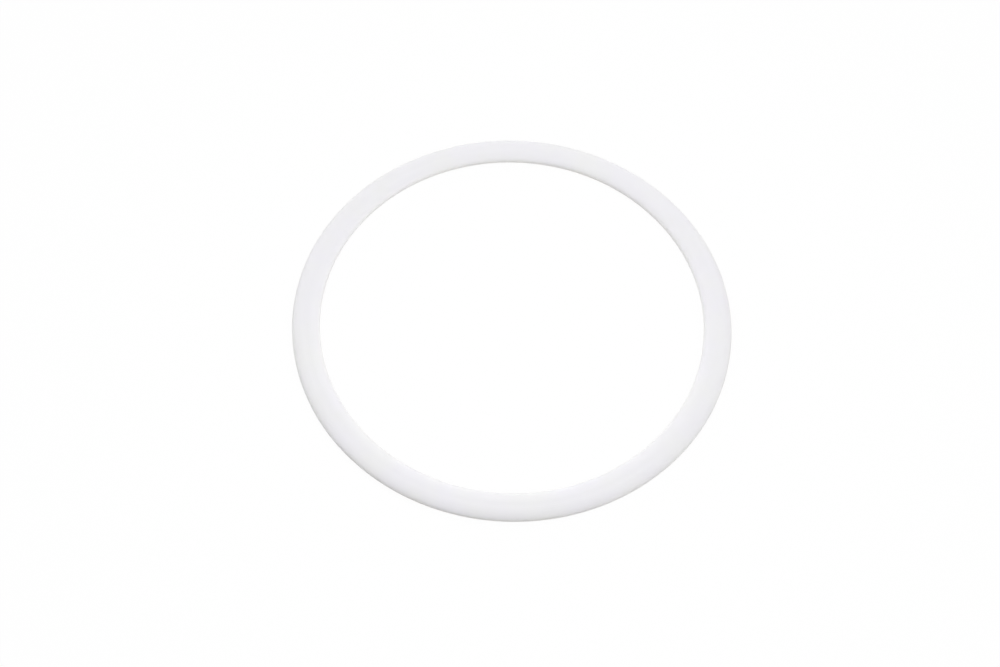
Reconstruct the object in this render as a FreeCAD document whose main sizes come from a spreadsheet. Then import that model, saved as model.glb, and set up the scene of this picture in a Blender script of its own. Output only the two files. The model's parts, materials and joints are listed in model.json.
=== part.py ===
# Backup ring: one endless ring of white PTFE, turned from tube stock. It lies flat with its axis on +Z,
# and the origin is on that axis, level with the face that it lies on. Sizes are in millimetres.
import FreeCAD, Part
import math
import os
import Sketcher

PARTS_FOLDER = "parts"
FULL_TURN_DEG = 360
QUARTER_TURN_DEG = 90

# How a sketch names its origin and horizontal axis, and the two ends of a line or an arc.
SKETCH_ORIGIN = (-1, 1)
HORIZONTAL_AXIS = -1
START, END = 1, 2

# How far an edge's rounding reaches over the face, and how far down the wall.
EDGE_WIDTH_RULE = "(Sizes.radial_width - Sizes.face_width) / 2"
EDGE_HEIGHT_RULE = "(Sizes.thickness - Sizes.wall_height) / 2"

# The driving sizes: alias, value, meaning.
DRIVING_SIZES = [
    ("bore_diameter", 70.0, "inside diameter, over the rod"),
    ("radial_width", 5.0, "from the inside wall to the outside wall"),
    ("thickness", 2.0, "height between the two flat faces"),
    ("face_width", 1.0, "flat width in the middle of each face"),
    ("wall_height", 0.2, "straight height in the middle of each wall"),
]


def make_sheet(doc):
    """The spreadsheet of driving sizes, one row each: name, value and meaning."""
    sheet = doc.addObject("Spreadsheet::Sheet", "Sizes")
    for row, (alias, value, meaning) in enumerate(DRIVING_SIZES, start=1):
        sheet.set(f"A{row}", alias)
        sheet.set(f"B{row}", str(value))
        sheet.set(f"C{row}", meaning)
        sheet.setAlias(f"B{row}", alias)
    doc.recompute()
    return sheet


def origin_feature(body, role):
    """One of the body's own origin planes or axes, found by its role."""
    return next(feature for feature in body.Origin.OriginFeatures if feature.Role == role)


def add_edge(sketch, centre, width, height, start_deg):
    """One rounded edge of the section: a quarter of an ellipse, drawn counterclockwise from start_deg.

    The ellipse reaches width to each side of its centre, and height above and below it.
    """
    lies_level = width >= height
    across = FreeCAD.Vector(width, 0, 0)
    upward = FreeCAD.Vector(0, height, 0)
    if lies_level:
        ellipse = Part.Ellipse(centre + across, centre + upward, centre)
        first_deg = start_deg
    else:
        ellipse = Part.Ellipse(centre + upward, centre - across, centre)
        first_deg = start_deg - QUARTER_TURN_DEG
    span = (math.radians(first_deg), math.radians(first_deg + QUARTER_TURN_DEG))
    edge = sketch.addGeometry(Part.ArcOfEllipse(ellipse, *span))
    sketch.exposeInternalGeometry(edge)
    long_axis = edge + 1
    sketch.addConstraint(Sketcher.Constraint("Horizontal" if lies_level else "Vertical", long_axis))
    return edge


def draw_section(body, sheet):
    """The ring's section beside the axis: the sketch's X is the radius and its Y the height."""
    sketch = body.newObject("Sketcher::SketchObject", "Section")
    sketch.AttachmentSupport = [(origin_feature(body, "XZ_Plane"), "")]
    sketch.MapMode = "FlatFace"

    inside_x = sheet.bore_diameter / 2
    outside_x = inside_x + sheet.radial_width
    top_y = sheet.thickness
    edge_width = (sheet.radial_width - sheet.face_width) / 2
    edge_height = (top_y - sheet.wall_height) / 2
    face_start_x, face_end_x = inside_x + edge_width, outside_x - edge_width
    wall_start_y, wall_end_y = edge_height, top_y - edge_height

    sides = []
    for start, end in (
        ((face_start_x, 0), (face_end_x, 0)),
        ((outside_x, wall_start_y), (outside_x, wall_end_y)),
        ((face_end_x, top_y), (face_start_x, top_y)),
        ((inside_x, wall_end_y), (inside_x, wall_start_y)),
    ):
        line = Part.LineSegment(FreeCAD.Vector(*start, 0), FreeCAD.Vector(*end, 0))
        sides.append(sketch.addGeometry(line))
    bottom, outside, top, inside = sides
    for line in (bottom, top):
        sketch.addConstraint(Sketcher.Constraint("Horizontal", line))
    for line in (outside, inside):
        sketch.addConstraint(Sketcher.Constraint("Vertical", line))

    for before, after, centre, start_deg in (
        (bottom, outside, (face_end_x, wall_start_y), -QUARTER_TURN_DEG),
        (outside, top, (face_end_x, wall_end_y), 0),
        (top, inside, (face_start_x, wall_end_y), QUARTER_TURN_DEG),
        (inside, bottom, (face_start_x, wall_start_y), 2 * QUARTER_TURN_DEG),
    ):
        edge = add_edge(sketch, FreeCAD.Vector(*centre, 0), edge_width, edge_height, start_deg)
        sketch.addConstraint(Sketcher.Constraint("Tangent", before, END, edge, START))
        sketch.addConstraint(Sketcher.Constraint("Tangent", edge, END, after, START))
    sketch.addConstraint(Sketcher.Constraint("PointOnObject", bottom, START, HORIZONTAL_AXIS))

    sized = [
        ("DistanceX", (*SKETCH_ORIGIN, inside, START), inside_x, "Sizes.bore_diameter / 2"),
        ("DistanceX", (inside, START, outside, START), sheet.radial_width, "Sizes.radial_width"),
        ("DistanceY", (bottom, END, top, START), top_y, "Sizes.thickness"),
        ("DistanceX", (bottom, START, bottom, END), sheet.face_width, "Sizes.face_width"),
        ("DistanceX", (top, END, top, START), sheet.face_width, "Sizes.face_width"),
        ("DistanceX", (inside, END, bottom, START), edge_width, EDGE_WIDTH_RULE),
        ("DistanceX", (inside, START, top, END), edge_width, EDGE_WIDTH_RULE),
        ("DistanceY", (outside, START, outside, END), sheet.wall_height, "Sizes.wall_height"),
        ("DistanceY", (inside, END, inside, START), sheet.wall_height, "Sizes.wall_height"),
        ("DistanceY", (bottom, END, outside, START), edge_height, EDGE_HEIGHT_RULE),
        ("DistanceY", (bottom, START, inside, END), edge_height, EDGE_HEIGHT_RULE),
    ]
    for kind, ends, value, expression in sized:
        number = sketch.addConstraint(Sketcher.Constraint(kind, *ends, value))
        sketch.setExpression(f"Constraints[{number}]", expression)
    return sketch


def turn(body, sketch):
    """The section turned once round the ring's axis."""
    ring = body.newObject("PartDesign::Revolution", "TurnedRing")
    ring.Profile = sketch
    ring.ReferenceAxis = (origin_feature(body, "Z_Axis"), [""])
    ring.Angle = FULL_TURN_DEG
    body.Document.recompute()
    return ring


def make_ring(doc, sheet):
    """The whole backup ring, as one body."""
    body = doc.addObject("PartDesign::Body", "BackupRing")
    body.Label = "backup_ring"
    body.Tip = turn(body, draw_section(body, sheet))
    return body


def check(doc, bodies):
    """Stops the build if any object failed or any body isn't one sound solid."""
    doc.recompute()
    for item in doc.Objects:
        faults = {"Invalid", "Error"} & set(item.State)
        if faults:
            raise RuntimeError(f"{item.Label} is {', '.join(sorted(faults))}")
    for body in bodies:
        if body.Shape.isNull() or not body.Shape.isValid() or len(body.Shape.Solids) != 1:
            raise RuntimeError(f"{body.Label} isn't one valid solid")


def main():
    """Builds the document and writes each body to its own STEP file."""
    doc = FreeCAD.newDocument("BackupRing")
    sheet = make_sheet(doc)
    bodies = [make_ring(doc, sheet)]
    check(doc, bodies)
    os.makedirs(PARTS_FOLDER, exist_ok=True)
    for body in bodies:
        body.Shape.exportStep(os.path.join(PARTS_FOLDER, f"{body.Label}.step"))
        box = body.Shape.optimalBoundingBox(False)
        print(
            f"{body.Label}: {box.XLength:.2f} x {box.YLength:.2f} x {box.ZLength:.2f} mm,"
            f" {body.Shape.Volume:.1f} mm3"
        )


main()
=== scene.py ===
"""A backup ring of white PTFE, lying flat on a white studio floor, as the camera sees it from above."""

import json
import logging
import math
from dataclasses import dataclass, field
from enum import Enum

import bpy
from mathutils import Matrix, Vector


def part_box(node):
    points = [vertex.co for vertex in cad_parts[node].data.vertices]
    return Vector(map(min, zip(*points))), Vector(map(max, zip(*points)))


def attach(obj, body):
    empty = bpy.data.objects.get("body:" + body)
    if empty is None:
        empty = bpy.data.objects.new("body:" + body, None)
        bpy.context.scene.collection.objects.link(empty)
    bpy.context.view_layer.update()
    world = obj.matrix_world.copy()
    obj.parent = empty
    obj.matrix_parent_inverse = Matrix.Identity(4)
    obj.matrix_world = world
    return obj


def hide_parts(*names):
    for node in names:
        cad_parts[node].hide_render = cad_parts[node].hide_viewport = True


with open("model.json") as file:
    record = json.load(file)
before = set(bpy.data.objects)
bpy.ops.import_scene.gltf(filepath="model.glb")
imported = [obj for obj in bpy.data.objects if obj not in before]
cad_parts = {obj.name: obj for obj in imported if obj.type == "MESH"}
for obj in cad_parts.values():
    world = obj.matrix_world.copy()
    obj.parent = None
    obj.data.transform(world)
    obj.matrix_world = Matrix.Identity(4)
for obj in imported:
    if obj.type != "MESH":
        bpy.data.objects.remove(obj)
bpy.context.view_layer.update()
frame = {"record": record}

log = logging.getLogger("backup_ring")

MM = 0.001
FULL_TURN = 2 * math.pi
WHITE = (1.0, 1.0, 1.0, 1.0)

# The middle value of a noise texture, and the bevel profile that rounds a corner in a plain arc.
NOISE_MIDDLE = 0.5
ROUND_PROFILE = 0.5

# How closely an edge must match a side's direction and length to be taken for that side.
DIRECTION_TOLERANCE = 1e-4
LENGTH_TOLERANCE = 1e-2

# Points closer than this share of an edge's height are joined once the section has been turned.
MERGE_SHARE = 0.001

# The camera sees from its distance to the ring divided by this to that distance times this.
CLIP_FACTOR = 100


class Ray(Enum):
    """The kinds of ray that see the studio as plain white, named as the Light Path node names them."""

    CAMERA = "Is Camera Ray"
    GLOSSY = "Is Glossy Ray"
    TRANSMISSION = "Is Transmission Ray"


class Side(Enum):
    """The straight sides of the ring's section, each with the count of strips it is cut into."""

    FACE = 6
    WALL = 2


class Board:
    """A material's or a world's nodes, with short ways to add and join them."""

    def __init__(self, tree: bpy.types.NodeTree) -> None:
        """Empties the tree.

        Args:
            tree: The node tree to work on.
        """
        self.tree = tree
        tree.nodes.clear()

    def add(self, kind: str, **settings: object) -> bpy.types.Node:
        """Adds a node.

        Args:
            kind: The node's type, as in ShaderNodeMath.
            settings: The node's own properties, by name.

        Returns:
            The new node.
        """
        node = self.tree.nodes.new(kind)
        for name, value in settings.items():
            setattr(node, name, value)
        return node

    def join(self, source: bpy.types.NodeSocket, target: bpy.types.NodeSocket) -> None:
        """Links an output to an input."""
        self.tree.links.new(source, target)

    def math(self, operation: str, *values: float | bpy.types.NodeSocket) -> bpy.types.NodeSocket:
        """Adds a Math node.

        Args:
            operation: The node's operation, such as MULTIPLY.
            values: Numbers or output sockets, one for each input.

        Returns:
            The node's output.
        """
        node = self.add("ShaderNodeMath", operation=operation)
        for socket, value in zip(node.inputs, values):
            if isinstance(value, bpy.types.NodeSocket):
                self.join(value, socket)
            else:
                socket.default_value = value
        return node.outputs[0]

    def seen_directly(self) -> bpy.types.NodeSocket:
        """Tells the rays that see the studio as white from those that light the ring.

        Returns:
            A factor that is 1 for the first kind and 0 for the second.
        """
        path = self.add("ShaderNodeLightPath")
        factor = 0.0
        for ray in Ray:
            factor = self.math("MAXIMUM", factor, path.outputs[ray.value])
        return factor


@dataclass(frozen=True)
class PtfeFinish:
    """Virgin PTFE: milky white, waxy and slightly translucent, with faint marks from turning.

    Lengths are in metres, and colours are linear. The patches are where the two whites blend, the marks are
    the tool's fine grooves, and the streaks are stretches where those are deeper or shallower.
    """

    cool_white: tuple[float, float, float] = (0.872, 0.864, 0.900)
    plain_white: tuple[float, float, float] = (0.874, 0.872, 0.880)
    patch_size: float = 9 * MM
    patch_detail: float = 2.0
    patch_blend: tuple[float, float] = (0.38, 0.62)
    roughness: float = 0.52
    roughness_spread: float = 0.08
    refractive_index: float = 1.35
    reflection_level: float = 0.25
    scatter_depth: float = 0.6 * MM
    scatter_share: float = 1.0
    mark_pitch: float = 0.36 * MM
    mark_depth: float = 0.0016 * MM
    streak_pitch: float = 0.9 * MM
    streak_length: float = 18 * MM
    streak_detail: float = 3.0

    def material(self) -> bpy.types.Material:
        """Builds the material.

        Returns:
            The material, whose patterns follow the object's own coordinates.
        """
        made = bpy.data.materials.new("ptfe_virgin_turned")
        made.use_nodes = True
        board = Board(made.node_tree)
        place = board.add("ShaderNodeTexCoord").outputs["Object"]
        across, streaks = self._across_marks(board, place)
        shader = board.add("ShaderNodeBsdfPrincipled")
        shader.inputs["IOR"].default_value = self.refractive_index
        shader.inputs["Specular IOR Level"].default_value = self.reflection_level
        shader.inputs["Subsurface Weight"].default_value = self.scatter_share
        shader.inputs["Subsurface Radius"].default_value = (1.0, 1.0, 1.0)
        shader.inputs["Subsurface Scale"].default_value = self.scatter_depth
        board.join(self._colour(board, place), shader.inputs["Base Color"])
        board.join(self._roughness(board, streaks), shader.inputs["Roughness"])
        board.join(self._relief(board, across, streaks), shader.inputs["Normal"])
        output = board.add("ShaderNodeOutputMaterial")
        board.join(shader.outputs["BSDF"], output.inputs["Surface"])
        return made

    def _across_marks(
        self, board: Board, place: bpy.types.NodeSocket
    ) -> tuple[bpy.types.NodeSocket, bpy.types.NodeSocket]:
        """Measures the way across the turning marks, and a noise drawn out along them.

        Args:
            board: The material's nodes.
            place: The point's object coordinates.

        Returns:
            The distance across the marks, which run round the axis on faces and walls alike, and the noise.
        """
        split = board.add("ShaderNodeSeparateXYZ")
        board.join(place, split.inputs[0])
        x, y, z = split.outputs
        square = board.math("ADD", board.math("MULTIPLY", x, x), board.math("MULTIPLY", y, y))
        radius = board.math("SQRT", square)
        across = board.math("ADD", radius, z)
        drawn = board.add("ShaderNodeCombineXYZ")
        board.join(board.math("DIVIDE", across, self.streak_pitch), drawn.inputs[0])
        board.join(board.math("DIVIDE", x, self.streak_length), drawn.inputs[1])
        board.join(board.math("DIVIDE", y, self.streak_length), drawn.inputs[2])
        noise = board.add("ShaderNodeTexNoise")
        noise.inputs["Scale"].default_value = 1.0
        noise.inputs["Detail"].default_value = self.streak_detail
        board.join(drawn.outputs[0], noise.inputs["Vector"])
        return across, noise.outputs["Fac"]

    def _colour(self, board: Board, place: bpy.types.NodeSocket) -> bpy.types.NodeSocket:
        """Blends the two whites in soft patches.

        Args:
            board: The material's nodes.
            place: The point's object coordinates.

        Returns:
            The base colour.
        """
        noise = board.add("ShaderNodeTexNoise")
        noise.inputs["Scale"].default_value = 1 / self.patch_size
        noise.inputs["Detail"].default_value = self.patch_detail
        board.join(place, noise.inputs["Vector"])
        ramp = board.add("ShaderNodeValToRGB")
        whites = (self.cool_white, self.plain_white)
        for stop, position, white in zip(ramp.color_ramp.elements, self.patch_blend, whites):
            stop.position = position
            stop.color = (*white, 1)
        board.join(noise.outputs["Fac"], ramp.inputs["Fac"])
        return ramp.outputs["Color"]

    def _roughness(self, board: Board, streaks: bpy.types.NodeSocket) -> bpy.types.NodeSocket:
        """Varies the roughness a little from one turning mark to the next."""
        swing = board.math("MULTIPLY", board.math("SUBTRACT", streaks, NOISE_MIDDLE), self.roughness_spread)
        return board.math("ADD", swing, self.roughness)

    def _relief(
        self, board: Board, across: bpy.types.NodeSocket, streaks: bpy.types.NodeSocket
    ) -> bpy.types.NodeSocket:
        """Raises the turning marks as bump, stronger in some streaks than in others.

        Args:
            board: The material's nodes.
            across: The distance across the marks.
            streaks: The noise drawn out along them.

        Returns:
            The bumped normal.
        """
        wave = board.math("SINE", board.math("MULTIPLY", across, FULL_TURN / self.mark_pitch))
        height = board.math("MULTIPLY", wave, streaks)
        bump = board.add("ShaderNodeBump")
        bump.inputs["Strength"].default_value = 1.0
        bump.inputs["Distance"].default_value = self.mark_depth
        board.join(height, bump.inputs["Height"])
        return bump.outputs["Normal"]


@dataclass
class BackupRing:
    """The ring itself: a flat section with broad elliptical edges, turned round the axis.

    Sizes are in metres.
    """

    bore_radius: float
    outside_radius: float
    thickness: float
    wall_height: float
    face_width: float = 1.0 * MM
    steps_round: int = 360
    steps_per_edge: int = 18
    finish: PtfeFinish = field(default_factory=PtfeFinish)

    @classmethod
    def from_frame(cls, node: str) -> "BackupRing":
        """Reads the ring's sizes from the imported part.

        Args:
            node: The ring's node.

        Returns:
            The ring, at the sizes of the part's walls and height.
        """
        mounts = {mount["name"]: mount for mount in frame["record"]["mounts"]}
        low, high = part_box(node)
        return cls(
            bore_radius=mounts["rod_bore"]["dims"]["r_mm"] * MM,
            outside_radius=mounts["groove_wall"]["dims"]["r_mm"] * MM,
            thickness=high.z - low.z,
            wall_height=mounts["groove_wall"]["dims"]["length_mm"] * MM,
        )

    @property
    def radial_width(self) -> float:
        """How wide the section is, from wall to wall."""
        return self.outside_radius - self.bore_radius

    @property
    def edge_width(self) -> float:
        """How far the rounding of an edge reaches over the face."""
        return (self.radial_width - self.face_width) / 2

    @property
    def edge_height(self) -> float:
        """How far the rounding of an edge comes down the wall."""
        return (self.thickness - self.wall_height) / 2

    def build(self) -> bpy.types.Object:
        """Models the ring as one closed mesh and dresses it.

        Returns:
            The finished piece.
        """
        ring = self._section()
        self._cut_sides()
        self._turn()
        bpy.ops.object.mode_set(mode="OBJECT")
        bpy.ops.object.shade_smooth()
        ring.name = ring.data.name = "ptfe_ring"
        ring.data.materials.append(self.finish.material())
        return ring

    def _section(self) -> bpy.types.Object:
        """Adds the section beside the axis.

        It is drawn as a narrow rectangle with round corners and stretched to its true width, which makes
        the corners elliptical.

        Returns:
            The section, left open for editing.
        """
        middle = (self.bore_radius + self.radial_width / 2, 0, self.thickness / 2)
        stretch = self.edge_width / self.edge_height
        bpy.ops.object.select_all(action="DESELECT")
        bpy.ops.mesh.primitive_plane_add(size=1, location=middle, rotation=(math.pi / 2, 0, 0))
        section = bpy.context.object
        section.scale = (self.radial_width / stretch, self.thickness, 1)
        bpy.ops.object.transform_apply(location=True, rotation=True, scale=True)
        bpy.ops.object.mode_set(mode="EDIT")
        bpy.ops.mesh.select_all(action="SELECT")
        bpy.ops.mesh.bevel(
            affect="VERTICES",
            offset=self.edge_height,
            segments=self.steps_per_edge,
            profile=ROUND_PROFILE,
        )
        bpy.ops.mesh.select_all(action="SELECT")
        bpy.ops.transform.resize(value=(stretch, 1, 1), center_override=middle)
        return section

    def _cut_sides(self) -> None:
        """Leaves the section's outline alone, and cuts its straight sides into strips."""
        bpy.ops.mesh.select_all(action="SELECT")
        bpy.ops.mesh.delete(type="ONLY_FACE")
        for side, length in ((Side.FACE, self.face_width), (Side.WALL, self.wall_height)):
            self._select_sides(side, length)
            bpy.ops.mesh.subdivide(number_cuts=side.value - 1)

    def _select_sides(self, side: Side, length: float) -> None:
        """Selects both straight sides of one kind.

        Args:
            side: The flat faces, which lie level, or the walls, which stand.
            length: How long each of the two is.
        """
        bpy.ops.mesh.select_all(action="DESELECT")
        bpy.ops.mesh.select_mode(type="EDGE")
        bpy.ops.object.mode_set(mode="OBJECT")
        mesh = bpy.context.object.data
        for edge in mesh.edges:
            start, end = (mesh.vertices[index].co for index in edge.vertices)
            run = end - start
            along = abs(run.x) if side is Side.FACE else abs(run.z)
            lies_along = math.isclose(run.length, along, rel_tol=DIRECTION_TOLERANCE)
            edge.select = lies_along and math.isclose(run.length, length, rel_tol=LENGTH_TOLERANCE)
        bpy.ops.object.mode_set(mode="EDIT")

    def _turn(self) -> None:
        """Turns the outline round the axis into a closed skin that faces outwards."""
        bpy.ops.mesh.select_all(action="SELECT")
        bpy.ops.mesh.spin(steps=self.steps_round, angle=FULL_TURN, center=(0, 0, 0), axis=(0, 0, 1))
        bpy.ops.mesh.select_all(action="SELECT")
        bpy.ops.mesh.remove_doubles(threshold=self.edge_height * MERGE_SHARE)
        bpy.ops.mesh.normals_make_consistent(inside=False)


@dataclass(frozen=True)
class PhotoCamera:
    """The photograph's view of the ring: where the camera stands, how it is turned, and its lens.

    It looks at the origin from the distance, and then steps aside without turning. Lengths are in metres
    but for the lens and the sensor.
    """

    elevation_deg: float = 60.3
    roll_deg: float = 1.53
    distance: float = 240 * MM
    step_right: float = -2.13 * MM
    step_up: float = -2.82 * MM
    lens_mm: float = 47.12
    sensor_mm: float = 36.0

    def build(self) -> bpy.types.Object:
        """Adds the camera and makes it the scene's own.

        Returns:
            The camera.
        """
        tilt = math.radians(self.elevation_deg)
        roll = math.radians(self.roll_deg)
        back = Vector((0, -math.cos(tilt), math.sin(tilt)))
        level_right = Vector((1, 0, 0))
        level_up = back.cross(level_right)
        right = level_right * math.cos(roll) + level_up * math.sin(roll)
        up = level_up * math.cos(roll) - level_right * math.sin(roll)
        spot = back * self.distance + level_right * self.step_right + level_up * self.step_up
        data = bpy.data.cameras.new("photo_camera")
        data.lens = self.lens_mm
        data.sensor_width = self.sensor_mm
        data.clip_start = self.distance / CLIP_FACTOR
        data.clip_end = self.distance * CLIP_FACTOR
        camera = bpy.data.objects.new("photo_camera", data)
        turn = Matrix((right, up, back)).transposed()
        camera.matrix_world = Matrix.Translation(spot) @ turn.to_4x4()
        bpy.context.scene.collection.objects.link(camera)
        bpy.context.scene.camera = camera
        return camera


@dataclass(frozen=True)
class Softbox:
    """A square lamp that points at the ring. Its place and width are in metres.

    The level is how bright a white level face at the origin renders in this lamp's light alone, worked out
    for a lamp that is small for its distance.
    """

    name: str
    spot: tuple[float, float, float]
    width: float
    level: float

    def build(self) -> bpy.types.Object:
        """Adds the lamp.

        Returns:
            The lamp.
        """
        spot = Vector(self.spot)
        slant = spot.z / spot.length
        data = bpy.data.lights.new(self.name, "AREA")
        data.shape = "SQUARE"
        data.size = self.width
        data.energy = self.level * math.pi**2 * spot.length_squared / slant
        lamp = bpy.data.objects.new(self.name, data)
        turn = spot.to_track_quat("Z", "Y").to_matrix().to_4x4()
        lamp.matrix_world = Matrix.Translation(spot) @ turn
        bpy.context.scene.collection.objects.link(lamp)
        return lamp


@dataclass
class Studio:
    """A white floor and plain soft light.

    The floor bounces light onto the ring in its own colour. What the camera sees of it is mostly a white
    glow, and the rest takes the ring's shadow. Lengths are in metres.
    """

    floor_width: float = 3.0
    floor_gap: float = 0.02 * MM
    floor_bounce: tuple[float, float, float] = (0.91, 0.90, 0.84)
    floor_glow_share: float = 0.97
    sky_level: float = 0.370
    softboxes: tuple[Softbox, ...] = (
        Softbox("near_softbox", (0.0, 0.0, 0.15), 0.12, 0.433),
        Softbox("right_softbox", (1.286, 0.0, 1.532), 1.0, 0.219),
        Softbox("low_left_softbox", (-1.329, 1.329, 0.684), 1.0, 0.089),
    )

    def build(self) -> None:
        """Adds the floor, the world's light and the lamps."""
        self._floor()
        self._sky()
        for softbox in self.softboxes:
            softbox.build()

    def _floor(self) -> None:
        """Lays the floor just under the ring."""
        bpy.ops.object.select_all(action="DESELECT")
        bpy.ops.mesh.primitive_plane_add(size=self.floor_width, location=(0, 0, -self.floor_gap))
        floor = bpy.context.object
        floor.name = "studio_floor"
        floor.data.materials.append(self._floor_material())

    def _floor_material(self) -> bpy.types.Material:
        """Builds the floor's finish, which glows white to the eye and still takes the ring's shadow.

        Returns:
            The material.
        """
        made = bpy.data.materials.new("white_floor")
        made.use_nodes = True
        board = Board(made.node_tree)
        paper = board.add("ShaderNodeBsdfDiffuse")
        paper.inputs["Color"].default_value = WHITE
        glow = board.add("ShaderNodeEmission")
        seen = board.add("ShaderNodeMixShader")
        seen.inputs["Fac"].default_value = self.floor_glow_share
        board.join(paper.outputs[0], seen.inputs[1])
        board.join(glow.outputs[0], seen.inputs[2])
        bounce = board.add("ShaderNodeBsdfDiffuse")
        bounce.inputs["Color"].default_value = (*self.floor_bounce, 1)
        choice = board.add("ShaderNodeMixShader")
        board.join(board.seen_directly(), choice.inputs["Fac"])
        board.join(bounce.outputs[0], choice.inputs[1])
        board.join(seen.outputs[0], choice.inputs[2])
        output = board.add("ShaderNodeOutputMaterial")
        board.join(choice.outputs[0], output.inputs["Surface"])
        return made

    def _sky(self) -> None:
        """Sets the world to plain white for the eye, and to an even light for the ring."""
        world = bpy.data.worlds.new("studio_sky")
        world.use_nodes = True
        bpy.context.scene.world = world
        board = Board(world.node_tree)
        light = board.add("ShaderNodeBackground")
        light.inputs["Strength"].default_value = self.sky_level
        white = board.add("ShaderNodeBackground")
        choice = board.add("ShaderNodeMixShader")
        board.join(board.seen_directly(), choice.inputs["Fac"])
        board.join(light.outputs[0], choice.inputs[1])
        board.join(white.outputs[0], choice.inputs[2])
        for background in (light, white):
            background.inputs["Color"].default_value = WHITE
        output = board.add("ShaderNodeOutputWorld")
        board.join(choice.outputs[0], output.inputs["Surface"])


def main() -> None:
    """Builds the camera, the studio and the ring."""
    logging.basicConfig(level=logging.INFO, format="%(name)s: %(message)s")
    bpy.context.scene.view_settings.view_transform = "Standard"
    PhotoCamera().build()
    Studio().build()
    backup_ring = BackupRing.from_frame("backup_ring")
    ring = backup_ring.build()
    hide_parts("backup_ring")
    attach(ring, "root")
    log.info("%s: %d faces", ring.name, len(ring.data.polygons))


if __name__ == "__main__":
    main()
